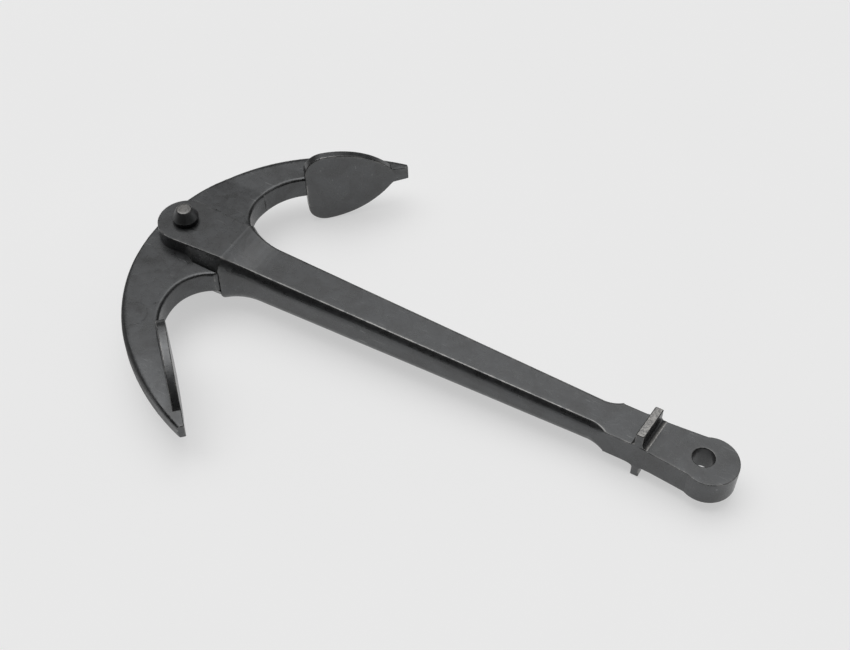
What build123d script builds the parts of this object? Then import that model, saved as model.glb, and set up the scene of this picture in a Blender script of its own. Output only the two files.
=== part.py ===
from build123d import *
import math
import os

# A forged fluke anchor with pivoting arms, in millimetres.
# The shank lies along X, the arms spread along Y, and the crown pin and the eye stand along Z.
# Everything is drawn about the crown pin, then moved so that the origin is the eye's centre.

# Crown fork: two round-ended cheeks, with a slot between them for the arms
pin_to_eye = 543.0
cheek_top = 28.3
cheek_radius = 27.7
slot_half_height = 13.5
throat_radius = 67.5
wing_start = 16.0
wing_half_width = 31.3
wing_scoop_radius = 18.0

# Shank: the root behind the fork, a flare, and a tapered body, crisp along its top and full at its sides
root_x = 58.5
root_top_half_width = 24.4
root_side_half_width = 33.0
flare_end = 98.0
body_end = 443.0
body_half_width = (17.75, 12.4)
body_half_height = (19.7, 13.8)
side_out = 5.6
side_down = 11.5

# Square seat for the stock, and the eye plate
seat_start = 460.0
seat_end = 491.0
seat_half_width = 18.7
seat_half_height = 13.8
plate_half_height = 13.3
eye_round_x = 549.7
eye_round_radius = 25.5
eye_waist_x = 538.0
eye_swell = 1.9
eye_lean = -0.6
eye_bore = 19.6

# Stock nuts, welded across the end of the seat above and below, the upper one a little askew
nut_x = 491.0
nut_length = 7.6
nut_top = 29.0
nut_half_width = (18.7, 18.0)
nut_foot = 5.0
nut_skew_upper = -4.5
nut_skew_lower = 0.0

# Arms: one crescent forging that turns in the slot
arm_half_height = 13.0
crown_back = 31.0
crown_arc_radius = 187.5
arm_mid_x = 45.2
arm_mid_rise = 36.4
bill_outer = (134.0, 194.0)
bill_reach = 232.0
bill_half_height = 8.0
taper_start = 105.0
hub_radius = 66.0
horn = (56.6, 34.0)
horn_blunt = 0.04
hollow_apex = (34.6, 70.0)
palm_heel = (59.0, 118.6)

# The forging's own unevenness: the outer left arm is set up a little, and the arms rest slightly off square
set_up_start = 80.0
set_up_angle = 2.8
rest_swing = -1.0

# Palms: blades with a flat face set at 45 degrees to the shank and a ridged back, let into the arms' inner faces
face_offset = 50.4
palm_heel_thickness = 8.8
palm_tip_thickness = 7.0
palm_heel_ridge = 3.0
palm_tip_ridge = 1.0
palm_start = 125.2
palm_half_width = 44.0
palm_shoulder_radius = 20.0
palm_side_radius = 88.0
palm_neck = 213.5
palm_tip = 217.5

# Crown pin, with a round head above and a clenched end below, each on a collar
pin_radius = 9.5
running_clearance = 0.05
collar_radius = 12.6
collar_height = 4.7
head_radius = 13.4
head_top_radius = 7.3
head_height = 11.0
clench_height = 6.0

edge_round = 0.8

os.makedirs("parts", exist_ok=True)


def save(shape, name):
    export_step(Pos(-pin_to_eye, 0, 0) * shape, f"parts/{name}.step")


def flat(outline, half_height):
    """A closed plan outline, extruded evenly above and below the middle plane."""
    return extrude(make_face(outline), half_height, both=True)


def arc_about(centre_x, start, end):
    """An arc about a centre on the X axis."""
    first = math.atan2(start[1], start[0] - centre_x)
    middle = (first + math.atan2(end[1], end[0] - centre_x)) / 2
    radius = math.hypot(start[0] - centre_x, start[1])
    return ThreePointArc(start, (centre_x + radius * math.cos(middle), radius * math.sin(middle)), end)


def octagon(x, top_half_width, half_height, side_half_width, side_half_height):
    """A section across the shank: a rectangle with its corners cut off."""
    quarter = [(top_half_width, half_height), (side_half_width, side_half_height)]
    right = quarter + [(y, -z) for y, z in reversed(quarter)]
    corners = right + [(-y, z) for y, z in reversed(right)]
    return make_face(Polyline(*[(x, y, z) for y, z in corners], close=True))


def full_section(x, top_half_width, half_height, side_half_width, side_half_height):
    """A section across the shank whose corners are arcs that turn upright where they meet the sides."""
    out = side_half_width - top_half_width
    down = half_height - side_half_height
    radius = (out**2 + down**2) / (2 * out)
    middle = math.asin(down / radius) / 2
    start = (top_half_width, half_height)
    end = (side_half_width, side_half_height)
    bulge = (side_half_width - radius + radius * math.cos(middle), side_half_height + radius * math.sin(middle))
    outline = [
        Line((0, half_height), start),
        ThreePointArc(start, bulge, end),
        Line(end, (side_half_width, 0)),
        Line((side_half_width, 0), (0, 0)),
        Line((0, 0), (0, half_height)),
    ]
    quarter = make_face(outline)
    half = quarter + mirror(quarter, about=Plane.XZ)
    whole = half + mirror(half, about=Plane.YZ)
    return Plane(origin=(x, 0, 0), x_dir=(0, 1, 0), z_dir=(1, 0, 0)) * whole


def body_size(x):
    """Half width of the top face and half height of the tapered body."""
    along = (x - flare_end) / (body_end - flare_end)
    return [big + along * (small - big) for big, small in (body_half_width, body_half_height)]


def shank_section(x):
    """The body's section, swelling towards the root."""
    width, height = body_size(x)
    root_width, root_height = body_size(root_x)
    swell = max(0.0, (flare_end - x) / (flare_end - root_x))
    top = width + (root_top_half_width - root_width) * swell**2
    half_height = height + (cheek_top - root_height) * swell**2
    side = width + side_out + (root_side_half_width - root_width - side_out) * swell**3
    drop = side_down + (cheek_top - slot_half_height - side_down) * swell**3
    return full_section(x, top, half_height, side, half_height - drop)


def make_body():
    """Flare and tapered body, with its full corners running out in a hollow at the square seat."""
    flare_sections = 7
    step = (flare_end - root_x) / (flare_sections - 1)
    flare = loft([shank_section(root_x + step * i) for i in range(flare_sections)])
    body = loft([shank_section(flare_end), shank_section(body_end)], ruled=True)
    stops = []
    for along in (0.0, 0.35, 0.7, 1.0):
        grown = 0.97 * along**2
        top = body_half_width[1] + (seat_half_width - body_half_width[1]) * grown
        body_side = body_half_width[1] + side_out
        side = body_side + (seat_half_width - body_side) * along
        drop = side_down * (1 - grown)
        x = body_end + (seat_start - body_end) * along
        stops.append(full_section(x, top, seat_half_height, side, seat_half_height - drop))
    return flare + body + loft(stops)


def make_eye():
    """Plate with a waist and a round end, leaning a little to the right, and its bore."""
    start = (seat_end - 1, seat_half_width)
    waist = (eye_waist_x, math.sqrt(eye_round_radius**2 - (eye_round_x - eye_waist_x) ** 2))
    swell = ((start[0] + waist[0]) / 2, seat_half_width + eye_swell)
    half = [
        Line((eye_round_x + eye_round_radius, 0), (start[0], 0)),
        Line((start[0], 0), start),
        ThreePointArc(start, swell, waist),
        arc_about(eye_round_x, waist, (eye_round_x + eye_round_radius, 0)),
    ]
    side = flat(half, plate_half_height)
    lean = Pos(start[0], 0, 0) * Rot(0, 0, eye_lean) * Pos(-start[0], 0, 0)
    bore = Pos(pin_to_eye, 0, 0) * Cylinder(eye_bore / 2, 3 * plate_half_height)
    return lean * (side + mirror(side, about=Plane.XZ)) - bore


def make_fork():
    """Both cheeks in one block, with sloping wings that spread to the arms' horns."""
    slope = (root_top_half_width - cheek_radius) / root_x
    half = [
        Line((-cheek_radius, 0), (root_x, 0)),
        Line((root_x, 0), (root_x, root_top_half_width)),
        Line((root_x, root_top_half_width), (0, cheek_radius)),
        arc_about(0, (0, cheek_radius), (-cheek_radius, 0)),
    ]
    side = flat(half, cheek_top)
    wing_top = cheek_radius + slope * wing_start
    wing = loft(
        [
            octagon(wing_start, wing_top, cheek_top, wing_half_width, slot_half_height),
            octagon(root_x, root_top_half_width, cheek_top, root_side_half_width, slot_half_height),
        ],
        ruled=True,
    )
    for way in (1, -1):
        scoop = Pos(wing_start, way * (wing_top + wing_scoop_radius), 0)
        wing -= scoop * Cylinder(wing_scoop_radius, 3 * cheek_top)
    return side + mirror(side, about=Plane.XZ) + wing


def make_shank():
    seat = Pos((seat_start + seat_end) / 2, 0, 0) * Box(
        seat_end - seat_start, 2 * seat_half_width, 2 * seat_half_height
    )
    shank = make_fork() + make_body() + seat + make_eye()
    shank -= Cylinder(throat_radius, 2 * slot_half_height)
    return shank - Cylinder(pin_radius + running_clearance, 3 * cheek_top)


def make_nut(shank, skew):
    """An upper stock nut, hollowed into the shank on both sides and trimmed level with the seat's sides."""
    half_length = nut_length / 2
    foot = half_length + nut_foot
    root = plate_half_height
    half_section = [
        Line((0, root), (foot, root)),
        RadiusArc((foot, root), (half_length, root + nut_foot), nut_foot),
        Line((half_length, root + nut_foot), (half_length, nut_top)),
        Line((half_length, nut_top), (0, nut_top)),
        Line((0, nut_top), (0, root)),
    ]
    half = extrude(Plane.XZ * make_face(half_section), nut_top, both=True)
    nut = Rot(0, 0, skew) * (half + mirror(half, about=Plane.YZ))
    lean = math.degrees(math.atan2(nut_half_width[0] - nut_half_width[1], nut_top - root))
    outside = Pos(0, nut_top / 2, 0) * Box(4 * nut_length, nut_top, 3 * nut_top)
    trim = Pos(0, nut_half_width[0], root) * Rot(lean, 0, 0) * outside
    nut = nut - trim - mirror(trim, about=Plane.XZ)
    nut = fillet(nut.faces().sort_by(Axis.Z)[-1].edges(), edge_round)
    return Pos(nut_x, 0, 0) * nut - shank


def palm_plane():
    """The front face of the palm at positive Y: its x runs towards the bill, its y is up."""
    return Plane(origin=(-face_offset / 2, face_offset / 2, 0), x_dir=(1, 1, 0), z_dir=(1, -1, 0))


def palm_section(x, thickness, ridge):
    """A section across a palm lying flat: level in front, thickest along its middle."""
    half = palm_half_width
    corners = [(-half, 0), (half, 0), (half, -thickness), (0, -thickness - ridge), (-half, -thickness)]
    return make_face(Polyline(*[(x, y, z) for y, z in corners], close=True))


def make_palm():
    """The palm at positive Y: square shoulders near the crown, narrowing to the bill."""
    shoulder_x = palm_start + palm_shoulder_radius
    shoulder_y = palm_half_width - palm_shoulder_radius
    corner = palm_shoulder_radius * math.sqrt(0.5)
    rise = palm_half_width - palm_side_radius
    half_way = (shoulder_x + palm_neck) / 2

    def side_y(x):
        return rise + math.sqrt(palm_side_radius**2 - (x - shoulder_x) ** 2)

    half = [
        Line((palm_tip, 0), (palm_start, 0)),
        Line((palm_start, 0), (palm_start, shoulder_y)),
        ThreePointArc(
            (palm_start, shoulder_y), (shoulder_x - corner, shoulder_y + corner), (shoulder_x, palm_half_width)
        ),
        ThreePointArc(
            (shoulder_x, palm_half_width), (half_way, side_y(half_way)), (palm_neck, side_y(palm_neck))
        ),
        ThreePointArc(
            (palm_neck, side_y(palm_neck)), (palm_tip - 1.1, side_y(palm_neck) / 2), (palm_tip, 0)
        ),
    ]
    face = make_face(half)
    face += mirror(face, about=Plane.XZ)
    outline = extrude(face, -2 * palm_heel_thickness)
    ridged = loft(
        [
            palm_section(palm_start, palm_heel_thickness, palm_heel_ridge),
            palm_section(palm_tip, palm_tip_thickness, palm_tip_ridge),
        ],
        ruled=True,
    )
    return palm_plane() * (outline & ridged)


def make_arm(palm):
    """Half of the crescent, at positive Y, thinned towards the bill and hollowed for its palm."""
    back = (-crown_back, 0)
    crown_centre = crown_arc_radius - crown_back
    mid = (arm_mid_x, math.sqrt(crown_arc_radius**2 - (crown_centre - arm_mid_x) ** 2))
    rise = math.radians(arm_mid_rise)
    bill_x = (bill_reach * math.sqrt(2) - face_offset) / 2
    heel_x = (palm_start * math.sqrt(2) - face_offset) / 2
    bill_inner = (bill_x, bill_x + face_offset)
    heel_front = (heel_x, heel_x + face_offset)
    horn_angle = math.atan2(horn[1], horn[0]) - horn_blunt
    horn_foot = (hub_radius * math.cos(horn_angle), hub_radius * math.sin(horn_angle))
    half = [
        Line((hub_radius, 0), back),
        arc_about(crown_centre, back, mid),
        TangentArc(mid, bill_outer, tangent=(math.cos(rise), math.sin(rise))),
        Line(bill_outer, bill_inner),
        Line(bill_inner, heel_front),
        Line(heel_front, palm_heel),
        TangentArc(hollow_apex, palm_heel, tangent=(0, 1)),
        TangentArc(hollow_apex, horn, tangent=(0, -1)),
        Line(horn, horn_foot),
        arc_about(0, horn_foot, (hub_radius, 0)),
    ]
    arm = flat(half, arm_half_height)
    overrun = bill_reach + arm_half_height
    grown = ((overrun - taper_start) / (bill_reach - taper_start)) ** 2
    thinned = arm_half_height - grown * (arm_half_height - bill_half_height)
    taper = [
        TangentArc((taper_start, arm_half_height), (overrun, thinned), tangent=(1, 0)),
        Line((overrun, thinned), (overrun, 2 * arm_half_height)),
        Line((overrun, 2 * arm_half_height), (taper_start, 2 * arm_half_height)),
        Line((taper_start, 2 * arm_half_height), (taper_start, arm_half_height)),
    ]
    above = extrude(palm_plane() * make_face(taper), bill_reach, both=True)
    return arm - above - mirror(above, about=Plane.XY) - palm


def leant(shape, angle):
    """Turns a shape up about the line across the left arm's top where it is set up."""
    hinge = Pos(0, set_up_start, arm_half_height)
    return hinge * Rot(angle, 0, 0) * Pos(0, -set_up_start, -arm_half_height) * shape


def make_arms(arm):
    """Both arms with the crown between them, the left one set up at a mitre, and the bore for the pin."""
    beyond = Pos(0, set_up_start + bill_reach / 2, 0) * Box(2 * bill_reach, bill_reach, 4 * arm_half_height)
    inner = arm - leant(beyond, set_up_angle / 2)
    outer = leant(arm & leant(beyond, -set_up_angle / 2), set_up_angle)
    return inner + outer + mirror(arm, about=Plane.XZ) - Cylinder(
        pin_radius + running_clearance, 3 * arm_half_height
    )


def make_collar():
    ring = Cylinder(collar_radius, collar_height) - Cylinder(pin_radius + running_clearance, 3 * collar_height)
    return Pos(0, 0, cheek_top + collar_height / 2) * ring


def make_pin():
    """Shaft with a cone head above and a lower clenched cone below."""
    seat = cheek_top + collar_height
    head = Pos(0, 0, seat + head_height / 2) * Cone(head_radius, head_top_radius, head_height)
    clench = Pos(0, 0, -seat - clench_height / 2) * Cone(head_top_radius, head_radius, clench_height)
    return Cylinder(pin_radius, 2 * seat) + head + clench


shank = make_shank()
palm = make_palm()
swing = Rot(0, 0, rest_swing)
collar = make_collar()

save(shank, "shank")
save(swing * make_arms(make_arm(palm)), "arms")
save(swing * leant(palm, set_up_angle), "palm_left")
save(swing * mirror(palm, about=Plane.XZ), "palm_right")
save(make_nut(shank, nut_skew_upper), "stock_nut_upper")
save(mirror(make_nut(shank, nut_skew_lower), about=Plane.XY), "stock_nut_lower")
save(make_pin(), "crown_pin")
save(collar, "pin_collar_upper")
save(mirror(collar, about=Plane.XY), "pin_collar_lower")
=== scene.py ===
import math

import bmesh
import bpy
from mathutils import Matrix, Vector, bvhtree, kdtree, noise


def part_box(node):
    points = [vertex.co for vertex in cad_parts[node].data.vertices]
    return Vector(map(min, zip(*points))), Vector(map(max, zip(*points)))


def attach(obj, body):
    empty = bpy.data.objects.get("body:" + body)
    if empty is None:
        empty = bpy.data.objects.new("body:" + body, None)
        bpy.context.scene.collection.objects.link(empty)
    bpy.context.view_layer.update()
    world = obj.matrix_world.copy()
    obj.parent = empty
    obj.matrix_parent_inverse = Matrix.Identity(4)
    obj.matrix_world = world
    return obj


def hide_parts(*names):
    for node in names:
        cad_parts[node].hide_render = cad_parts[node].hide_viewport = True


# A forged fluke anchor in blackened iron, on a pale table under soft light.
# Every piece is made from its own node: edges rounded, faces hammered slightly uneven, then given a finish.

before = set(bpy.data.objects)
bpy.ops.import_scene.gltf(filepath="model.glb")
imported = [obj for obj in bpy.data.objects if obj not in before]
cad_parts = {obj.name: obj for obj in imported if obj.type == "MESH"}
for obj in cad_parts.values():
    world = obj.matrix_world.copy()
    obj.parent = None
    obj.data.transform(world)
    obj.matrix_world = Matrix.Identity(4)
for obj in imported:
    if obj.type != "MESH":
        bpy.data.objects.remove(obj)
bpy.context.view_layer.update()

MM = 0.001

# Places that the shapes and the finish are worked out from
NUT_LOW, NUT_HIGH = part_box("stock_nut_upper")
ARMS_LOW, ARMS_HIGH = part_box("arms")

# Forging
SHARP_ANGLE = math.radians(22)
CREASE_ANGLE = math.radians(35)
FLAT_ANGLE = math.radians(0.15)
WELD = 0.002 * MM
FLAT_FACE_WEIGHT = 60
BEVEL_STEPS = 4
TOUCH = 0.6 * MM
GRID = 3.0 * MM
WAVE = 0.16 * MM
WAVE_LENGTH = 34 * MM
HAMMER = 0.05 * MM
HAMMER_LENGTH = 9 * MM
EDGE_REACH = 10 * MM
JOINT_REACH = 5 * MM
TABLE_SIZE = 30.0


# ---------------------------------------------------------------- shapes

def sharp_edges(mesh):
    """Edges of a welded mesh whose two faces meet at a clear outward angle."""
    return [
        e
        for e in mesh.edges
        if len(e.link_faces) == 2 and e.is_convex and e.calc_face_angle(0) > SHARP_ANGLE
    ]


def middle_of(edge):
    return (edge.verts[0].co + edge.verts[1].co) / 2


def rounded(obj, width):
    """Rounds each edge by its own share of the width."""
    bevel = obj.modifiers.new("edges", "BEVEL")
    bevel.limit_method = "WEIGHT"
    bevel.width = width
    bevel.segments = BEVEL_STEPS
    bevel.use_clamp_overlap = False
    bevel.loop_slide = True
    graph = bpy.context.evaluated_depsgraph_get()
    made = bpy.data.meshes.new_from_object(obj.evaluated_get(graph))
    obj.modifiers.clear()
    return made


def cut_into_grid(mesh, size):
    """Slices every face on planes square to X, Y and Z, so that it can be made uneven."""
    for axis in range(3):
        places = [v.co[axis] for v in mesh.verts]
        count = int((max(places) - min(places)) / size)
        direction = Vector([float(i == axis) for i in range(3)])
        for step in range(1, count + 1):
            point = direction * (min(places) + (step - 0.5) * size)
            everything = mesh.verts[:] + mesh.edges[:] + mesh.faces[:]
            bmesh.ops.bisect_plane(mesh, geom=everything, dist=1e-7, plane_co=point, plane_no=direction)


def edge_tree(edges):
    """Points about a millimetre apart along the edges, to measure distances from."""
    points = []
    for e in edges:
        a, b = (v.co for v in e.verts)
        steps = max(1, int((b - a).length / MM))
        points += [a.lerp(b, i / steps) for i in range(steps + 1)]
    tree = kdtree.KDTree(len(points))
    for i, p in enumerate(points):
        tree.insert(p, i)
    tree.balance()
    return tree


def near(tree, point, reach):
    """From 0 at the edges that the tree holds to 1 at the reach and beyond."""
    distance = tree.find(point)[2]
    return 1.0 if distance is None else min(distance / reach, 1.0)


def uneven(point, offset):
    """How far the hammered surface lies under the true one, never above it."""
    wave = noise.noise(point / WAVE_LENGTH + offset)
    hammer = noise.noise(point / HAMMER_LENGTH - offset)
    return WAVE * (wave - 1) / 2 + HAMMER * (hammer - 1) / 2


def surface(node):
    """A node's surface, to measure distances from."""
    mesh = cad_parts[node].data
    return bvhtree.BVHTree.FromPolygons([v.co for v in mesh.vertices], [p.vertices for p in mesh.polygons])


surfaces = {node: surface(node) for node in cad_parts}


def touches(point, node):
    """Whether another piece's surface is right at the point."""
    return any(tree.find_nearest(point, TOUCH)[0] for other, tree in surfaces.items() if other != node)


def welded(node, cuts):
    """The node's mesh with whole faces, and with extra edges where a plane cuts it."""
    mesh = bmesh.new()
    mesh.from_mesh(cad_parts[node].data)
    bmesh.ops.remove_doubles(mesh, verts=mesh.verts, dist=WELD)
    bmesh.ops.dissolve_limit(mesh, angle_limit=FLAT_ANGLE, verts=mesh.verts, edges=mesh.edges)
    for point, direction in cuts:
        everything = mesh.verts[:] + mesh.edges[:] + mesh.faces[:]
        bmesh.ops.bisect_plane(mesh, geom=everything, dist=1e-6, plane_co=point, plane_no=direction)
    return mesh


def forged(name, node, body, material, radius_at, cuts=()):
    """A detailed piece that stands for a node. radius_at gives an edge's rounding."""
    mesh = welded(node, cuts)
    weight = mesh.edges.layers.float.new("bevel_weight_edge")
    joints = edge_tree([e for e in mesh.edges if touches(middle_of(e), node)])
    free = [e for e in sharp_edges(mesh) if not touches(middle_of(e), node)]
    rims = edge_tree(free)
    radii = {e: radius_at(middle_of(e), [f.normal for f in e.link_faces]) for e in free}
    widest = max(radii.values(), default=MM)
    for e, radius in radii.items():
        e[weight] = radius / widest
    data = bpy.data.meshes.new(name)
    mesh.to_mesh(data)
    mesh.free()
    obj = bpy.data.objects.new(name, data)
    bpy.context.scene.collection.objects.link(obj)
    obj.data = rounded(obj, widest)
    obj.data.name = name

    mesh = bmesh.new()
    mesh.from_mesh(obj.data)
    bmesh.ops.remove_doubles(mesh, verts=mesh.verts, dist=1e-6)
    cut_into_grid(mesh, GRID)
    bmesh.ops.triangulate(mesh, faces=[f for f in mesh.faces if len(f.verts) > 4])
    mesh.normal_update()
    edge = mesh.verts.layers.float.new("edge_distance")
    for v in mesh.verts:
        v[edge] = near(rims, v.co, EDGE_REACH)
    offset = Vector((len(name) * 3.7, len(node) * 1.3, 2.1))
    moves = {v: v.normal * uneven(v.co, offset) * near(joints, v.co, JOINT_REACH) for v in mesh.verts}
    for v, move in moves.items():
        v.co += move
    for f in mesh.faces:
        f.smooth = True
    for e in mesh.edges:
        e.smooth = e.calc_face_angle(0) < CREASE_ANGLE
    mesh.to_mesh(obj.data)
    mesh.free()
    obj.data.materials.clear()
    obj.data.materials.append(material)
    even = obj.modifiers.new("flat faces", "WEIGHTED_NORMAL")
    even.weight = FLAT_FACE_WEIGHT
    even.keep_sharp = True
    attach(obj, body)
    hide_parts(node)
    return obj


# ---------------------------------------------------------------- finishes

class Shader:
    """A short way to lay out shader nodes."""

    def __init__(self, name):
        self.material = bpy.data.materials.new(name)
        self.material.use_nodes = True
        self.tree = self.material.node_tree
        self.surface = self.tree.nodes["Principled BSDF"]

    def add(self, kind, **inputs):
        made = self.tree.nodes.new(kind)
        for key, value in inputs.items():
            self.put(made, key.replace("_", " "), value)
        return made

    def put(self, target, key, value):
        numbered = key[0] == "i" and key[1:].isdigit()
        socket = target.inputs[int(key[1:]) if numbered else key]
        if isinstance(value, bpy.types.NodeSocket):
            self.tree.links.new(value, socket)
        else:
            socket.default_value = value

    def math(self, operation, a, b=0.0, clamp=False):
        made = self.add("ShaderNodeMath", i0=a, i1=b)
        made.operation = operation
        made.use_clamp = clamp
        return made.outputs[0]

    def place(self):
        """The point on the piece, in millimetres."""
        coordinates = self.add("ShaderNodeTexCoord")
        scaled = self.add("ShaderNodeVectorMath", i0=coordinates.outputs["Object"])
        scaled.operation = "SCALE"
        scaled.inputs["Scale"].default_value = 1 / MM
        return scaled.outputs[0]

    def facing(self, axis):
        """How far the surface faces along an axis."""
        normal = self.add("ShaderNodeNewGeometry").outputs["Normal"]
        return self.add("ShaderNodeSeparateXYZ", i0=normal).outputs[axis]

    def noise(self, place, size, detail=3.0, roughness=0.55, distortion=0.0):
        made = self.add("ShaderNodeTexNoise", Vector=place, Scale=1 / size, Detail=detail)
        made.inputs["Roughness"].default_value = roughness
        made.inputs["Distortion"].default_value = distortion
        return made.outputs["Fac"]

    def ramp(self, value, low, high, from_low=0.0, from_high=1.0, smooth=True):
        made = self.add("ShaderNodeMapRange", Value=value)
        made.interpolation_type = "SMOOTHSTEP" if smooth else "LINEAR"
        span = {"From Min": from_low, "From Max": from_high, "To Min": low, "To Max": high}
        for key, number in span.items():
            made.inputs[key].default_value = number
        return made.outputs["Result"]

    def mix(self, share, first, second, blend="MIX"):
        made = self.add("ShaderNodeMix")
        made.data_type = "RGBA"
        made.blend_type = blend
        for socket, value in zip((0, 6, 7), (share, first, second)):
            self.put(made, f"i{socket}", value)
        return made.outputs[2]


def grey(level, blue=0.0):
    return (level, level * (1 + blue / 2), level * (1 + blue), 1.0)


BARE_IRON = (0.36, 0.35, 0.335, 1.0)
RUST = (0.07, 0.035, 0.018, 1.0)


def oxide_skin(s, level, mottle, broad, patches, fine):
    """A dark skin in large clouds, with lighter patches and dark specks."""
    dark, light = grey(level * (1 - 0.1 * mottle), 0.02), grey(level * (1 + 0.08 * mottle), 0.05)
    skin = s.mix(s.ramp(broad, 0.0, 1.0, 0.3, 0.7), dark, light)
    skin = s.mix(s.ramp(patches, 0.0, 0.3 * mottle, 0.45, 0.72), skin, grey(level * 1.25, 0.06))
    return s.mix(s.ramp(fine, 0.0, 0.35, 0.52, 0.75), skin, grey(level * 0.6))


def rubbed_edges(s, wear, broad, patches):
    """How far the surface is rubbed bright: most of all close to an edge, broken up by noise."""
    edge = s.add("ShaderNodeAttribute")
    edge.attribute_name = "edge_distance"
    reach = s.math("MULTIPLY", edge.outputs["Fac"], EDGE_REACH / MM)
    ragged = s.math("ADD", reach, s.ramp(patches, 1.6 - 2.2 * wear, -0.9, 0.3, 0.72, False))
    rubbed = s.ramp(ragged, 1.0, 0.0, 0.15, 0.9)
    rubbed = s.math("MULTIPLY", rubbed, s.ramp(broad, 0.35, 1.0, 0.35, 0.6))
    rubbed = s.math("MULTIPLY", rubbed, wear, True)
    halo = s.math("MULTIPLY", s.ramp(reach, 1.0, 0.0, 0.0, 5.0), s.ramp(patches, 0.0, 0.35 * wear, 0.4, 0.65))
    return s.math("MAXIMUM", rubbed, s.math("MULTIPLY", halo, 0.6))


def struck_tops(s, place, polish):
    """How far the surface is hammered bright, which is only where it faces straight up or down."""
    struck = s.ramp(s.math("ABSOLUTE", s.facing("Z")), 0.0, 1.0, 0.75, 0.97)
    blotches = s.ramp(s.noise(place, 2.6, 4.0, 0.7), 0.25, polish, 0.35, 0.62)
    return s.math("MULTIPLY", struck, blotches)


def long_scratches(s, place, scars, broad):
    """Long narrow noise, kept only at its crests and in a few places."""
    stretched = s.add("ShaderNodeMapping", Vector=place)
    stretched.inputs["Rotation"].default_value = (0.0, 0.0, 0.5)
    stretched.inputs["Scale"].default_value = (0.035, 0.9, 0.35)
    line = s.noise(stretched.outputs[0], 1.0, 1.0, 0.4)
    return s.math("MULTIPLY", s.ramp(line, 0.0, 1.0, 0.7, 0.74), s.ramp(broad, 0.0, 0.5 * scars, 0.5, 0.6))


def single_scar(s, place, patches, centre, radius, width, depth):
    """A broken ring or, with hardly any radius, a spot."""
    away = s.add("ShaderNodeVectorMath", i0=place, i1=centre)
    away.operation = "DISTANCE"
    ragged = s.math("ADD", away.outputs["Value"], s.ramp(patches, -2.0, 2.0))
    ring = s.math("ABSOLUTE", s.math("SUBTRACT", ragged, radius))
    broken = s.ramp(s.noise(place, 4.0, 3.0), 0.0, 1.0, 0.42, 0.55)
    return s.math("MULTIPLY", s.ramp(ring, depth, 0.0, 0.0, width), broken)


def relief(s, patches, fine, grain, pits, scratch):
    """The fine ups and downs of the surface."""
    height = s.math("MULTIPLY", patches, 0.55)
    height = s.math("ADD", height, s.math("MULTIPLY", fine, 0.22))
    height = s.math("ADD", height, s.math("MULTIPLY", grain, 0.06))
    height = s.math("SUBTRACT", height, s.math("MULTIPLY", pits, 0.25))
    height = s.math("SUBTRACT", height, s.math("MULTIPLY", scratch, 0.2))
    return s.add("ShaderNodeBump", Height=height, Strength=0.35, Distance=0.3 * MM).outputs[0]


def iron(name, level, wear=0.5, polish=0.0, roughness=0.3, scars=1.0, mottle=1.0, marks=(), shade_painted_on_back=False):
    """Blackened forged iron, rubbed bright on its edges, with scratches, a little rust and a fine tooth."""
    s = Shader(name)
    place = s.place()
    broad = s.noise(place, 28, 4.0, 0.6, 0.6)
    patches = s.noise(place, 7, 5.0, 0.65, 0.8)
    fine = s.noise(place, 1.1, 3.0, 0.6)
    grain = s.noise(place, 0.35, 2.0, 0.5)

    shine = rubbed_edges(s, wear, broad, patches)
    if polish:
        shine = s.math("MAXIMUM", shine, struck_tops(s, place, polish))
    color = s.mix(shine, oxide_skin(s, level, mottle, broad, patches, fine), BARE_IRON)

    scratch = long_scratches(s, place, scars, broad)
    color = s.mix(scratch, color, grey(level * 2.6))
    for mark in marks:
        scar = single_scar(s, place, patches, *mark)
        scratch = s.math("MAXIMUM", scratch, scar)
        color = s.mix(scar, color, grey(level * 0.3))

    # A little rust in the pits
    pits = s.ramp(s.noise(place, 3.2, 5.0, 0.7), 0.0, 1.0, 0.64, 0.72)
    rust = s.math("MULTIPLY", pits, s.ramp(s.noise(place, 60, 2.0), 0.0, 0.35, 0.52, 0.62))
    color = s.mix(rust, color, RUST)

    rough = s.ramp(patches, roughness - 0.07, roughness + 0.09, 0.3, 0.7, False)
    rough = s.math("ADD", rough, s.ramp(fine, -0.03, 0.04, 0.3, 0.7, False))
    rough = s.math("SUBTRACT", rough, s.math("MULTIPLY", shine, 0.12), True)

    # Outer walls facing away from the ring (towards -X): painted shade, a darker colour standing in for what
    # they reflect, and also made rougher
    if shade_painted_on_back:
        back_shade = s.ramp(s.facing("X"), 0.62, 0.0, -0.6, -0.15)
        color = s.mix(back_shade, color, grey(level * 0.35))
        rough = s.math("ADD", rough, s.math("MULTIPLY", back_shade, 0.4), True)

    s.put(s.surface, "Base Color", color)
    s.put(s.surface, "Metallic", s.ramp(shine, 0.88, 0.97, 0.0, 0.6, False))
    s.put(s.surface, "Roughness", rough)
    s.put(s.surface, "Normal", relief(s, patches, fine, grain, pits, scratch))
    return s.material


def table_finish():
    """A matt white table that glows a little, as a lit table does, so that its shadows stay faint."""
    s = Shader("table_white")
    place = s.place()
    tone = s.ramp(s.noise(place, 300, 2.0), 0.49, 0.51)
    s.put(s.surface, "Base Color", s.mix(tone, (0, 0, 0, 1), (1, 1, 1, 1)))
    s.surface.inputs["Roughness"].default_value = 0.9
    s.surface.inputs["Specular IOR Level"].default_value = 0.1
    s.surface.inputs["Emission Color"].default_value = (1, 1, 1, 1)
    s.surface.inputs["Emission Strength"].default_value = 0.5
    return s.material


# ---------------------------------------------------------------- the pieces

def plain_radius(amount):
    return lambda middle, normals: amount * MM


def shank_radius(middle, normals):
    """A little softer along the top than underneath and at the upright corners."""
    if middle.z < 0 and any(n.z < -0.93 for n in normals):
        return 0.4 * MM
    return 0.8 * MM


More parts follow.
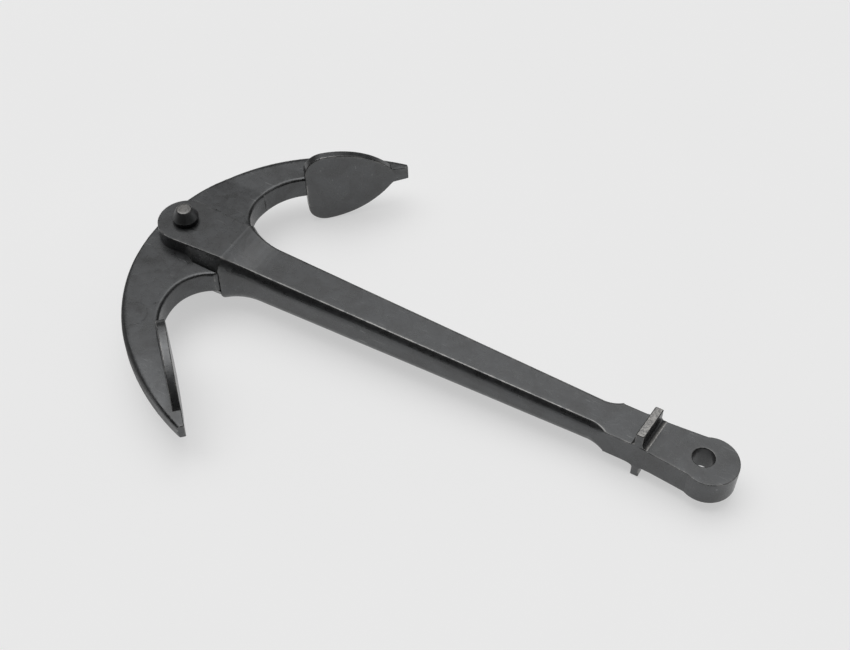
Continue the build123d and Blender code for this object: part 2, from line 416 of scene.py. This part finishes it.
def arm_radius(middle, normals):
    """Full round the hollows and along the back, fuller towards the bills, and crisp at the corners."""
    if not any(abs(n.z) > 0.9 for n in normals):
        return 1.2 * MM
    wall = min(normals, key=lambda n: abs(n.z))
    share = abs(middle.y) / ARMS_HIGH.y
    if wall.x > -0.2:
        return 3.6 * MM if share < 0.62 else 1.0 * MM
    fuller = min(1.0, max(0.0, (share - 0.3) / 0.4))
    crisper = max(0.0, (share - 0.85) / 0.15)
    return (2.2 + 4.6 * fuller - 3.8 * crisper) * MM


def cuts_along(*places):
    return [(Vector((x, 0, 0)), Vector((1, 0, 0))) for x in places]


def cuts_up(*heights):
    return [(Vector((0, 0, z)), Vector((0, 0, 1))) for z in heights]


nut_cuts = cuts_along(NUT_LOW.x, NUT_HIGH.x)
palm_cuts = cuts_up(ARMS_LOW.z, ARMS_HIGH.z)

shank_iron = iron("shank_iron", 0.1, 0.4)
# Places, radii, widths and strengths of the scars on the right arm: a rough gouge and a ring-shaped scrape
arm_marks = [((-512.0, -91.0, 13.0), 0.5, 3.0, 0.8), ((-524.0, -113.0, 13.0), 14.0, 1.0, 0.45)]
# The arms get painted shade on their walls facing away from the ring
arm_iron = iron("arm_iron", 0.095, 0.4, mottle=1.6, scars=1.4, marks=arm_marks, shade_painted_on_back=True)
palm_iron = iron("palm_iron", 0.1, 0.6)
nut_iron = iron("nut_iron", 0.1, 0.5, polish=0.75)
pin_steel = iron("pin_steel", 0.08, 0.5, polish=0.7, roughness=0.34)
# The collars are coloured far darker than the other iron: painted shade for the shadow under the pin head
collar_iron = iron("collar_iron", 0.04, 0.2)

forged("shank_forging", "shank", "shank", shank_iron, shank_radius, nut_cuts)
forged("arms_forging", "arms", "arms", arm_iron, arm_radius)
forged("palm_blade_left", "palm_left", "arms", palm_iron, plain_radius(1.1), palm_cuts)
forged("palm_blade_right", "palm_right", "arms", palm_iron, plain_radius(1.1), palm_cuts)
forged("nut_upper", "stock_nut_upper", "shank", nut_iron, plain_radius(0.7))
forged("nut_lower", "stock_nut_lower", "shank", nut_iron, plain_radius(0.7))
forged("pin", "crown_pin", "shank", pin_steel, plain_radius(1.3))
forged("collar_upper", "pin_collar_upper", "shank", collar_iron, plain_radius(1.2))
forged("collar_lower", "pin_collar_lower", "shank", collar_iron, plain_radius(1.2))


# ---------------------------------------------------------------- table, light and camera

def make_table():
    """The table, tilted so that the anchor rests on both palms and the lower stock nut."""
    feet = []
    for node in ("palm_left", "palm_right", "stock_nut_lower"):
        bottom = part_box(node)[0].z + TOUCH
        lowest = [v.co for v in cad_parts[node].data.vertices if v.co.z < bottom]
        feet.append(sum(lowest, Vector()) / len(lowest))
    left, right, nut = feet
    up = (nut - right).cross(left - right).normalized()
    if up.z < 0:
        up.negate()
    along = (nut - (left + right) / 2).normalized()
    side = up.cross(along)
    nut = nut - up * (TOUCH * 2)
    mesh = bpy.data.meshes.new("table")
    corners = [nut + (along * a + side * b) * TABLE_SIZE for a, b in ((-1, -1), (1, -1), (1, 1), (-1, 1))]
    mesh.from_pydata(corners, [], [(0, 1, 2, 3)])
    table = bpy.data.objects.new("table", mesh)
    bpy.context.scene.collection.objects.link(table)
    mesh.materials.append(table_finish())


# Directions that the room's light changes with
OVERHEAD = (0.10, -0.12, 0.985)
FRONT = (0.1, -1.0, 0.0)
DARK_SIDE = (0.32, -0.80, 0.50)
RING_SIDE = (1.0, 0.0, 0.0)


def make_room():
    """A broad soft light overhead, and soft surroundings that are darker on one side."""
    world = bpy.data.worlds.new("room")
    bpy.context.scene.world = world
    world.use_nodes = True
    tree = world.node_tree
    background = tree.nodes["Background"]
    background.inputs["Color"].default_value = (1, 1, 1, 1)
    direction = tree.nodes.new("ShaderNodeTexCoord").outputs["Generated"]

    def glow(towards, start, end, low, high):
        """Brightness that changes with the angle from a direction."""
        facing = tree.nodes.new("ShaderNodeVectorMath")
        facing.operation = "DOT_PRODUCT"
        facing.inputs[1].default_value = Vector(towards).normalized()
        tree.links.new(direction, facing.inputs[0])
        ramp = tree.nodes.new("ShaderNodeMapRange")
        for key, number in (("From Min", start), ("From Max", end), ("To Min", low), ("To Max", high)):
            ramp.inputs[key].default_value = number
        tree.links.new(facing.outputs["Value"], ramp.inputs["Value"])
        return ramp.outputs["Result"]

    def combine(operation, a, b):
        made = tree.nodes.new("ShaderNodeMath")
        made.operation = operation
        tree.links.new(a, made.inputs[0])
        tree.links.new(b, made.inputs[1])
        return made.outputs[0]

    lamp = combine("MULTIPLY", glow(OVERHEAD, 0.51, 1.0, 0.05, 3.0), glow(FRONT, 0.15, 0.5, 1.0, 0.0))
    lamp = combine("MULTIPLY", lamp, glow(RING_SIDE, -0.1, 0.28, 1.0, 0.15))
    total = combine("ADD", lamp, glow(DARK_SIDE, 0.0, 0.7, 0.13, 0.03))
    seen = tree.nodes.new("ShaderNodeLightPath")
    pick = tree.nodes.new("ShaderNodeMix")
    tree.links.new(seen.outputs["Is Camera Ray"], pick.inputs[0])
    tree.links.new(total, pick.inputs[2])
    pick.inputs[3].default_value = 0.96
    tree.links.new(pick.outputs[0], background.inputs["Strength"])


def make_camera():
    """Looks down on the anchor over its right side, from beyond the ring."""
    place = Vector((118.3, -696.1, 962.1)) * MM
    right = Vector((0.8685, 0.4957, 0.0040)).normalized()
    back = Vector((0.3194, -0.5659, 0.7601)).normalized()
    up = back.cross(right).normalized()
    right = up.cross(back)
    camera = bpy.data.cameras.new("camera")
    camera.sensor_width = 36.0
    camera.lens = 57.12
    camera.clip_start = 0.01
    camera.clip_end = 100
    obj = bpy.data.objects.new("camera", camera)
    obj.matrix_world = Matrix.Translation(place) @ Matrix((right, up, back)).transposed().to_4x4()
    bpy.context.scene.collection.objects.link(obj)
    bpy.context.scene.camera = obj


make_table()
make_room()
make_camera()
bpy.context.scene.view_settings.view_transform = "Standard"
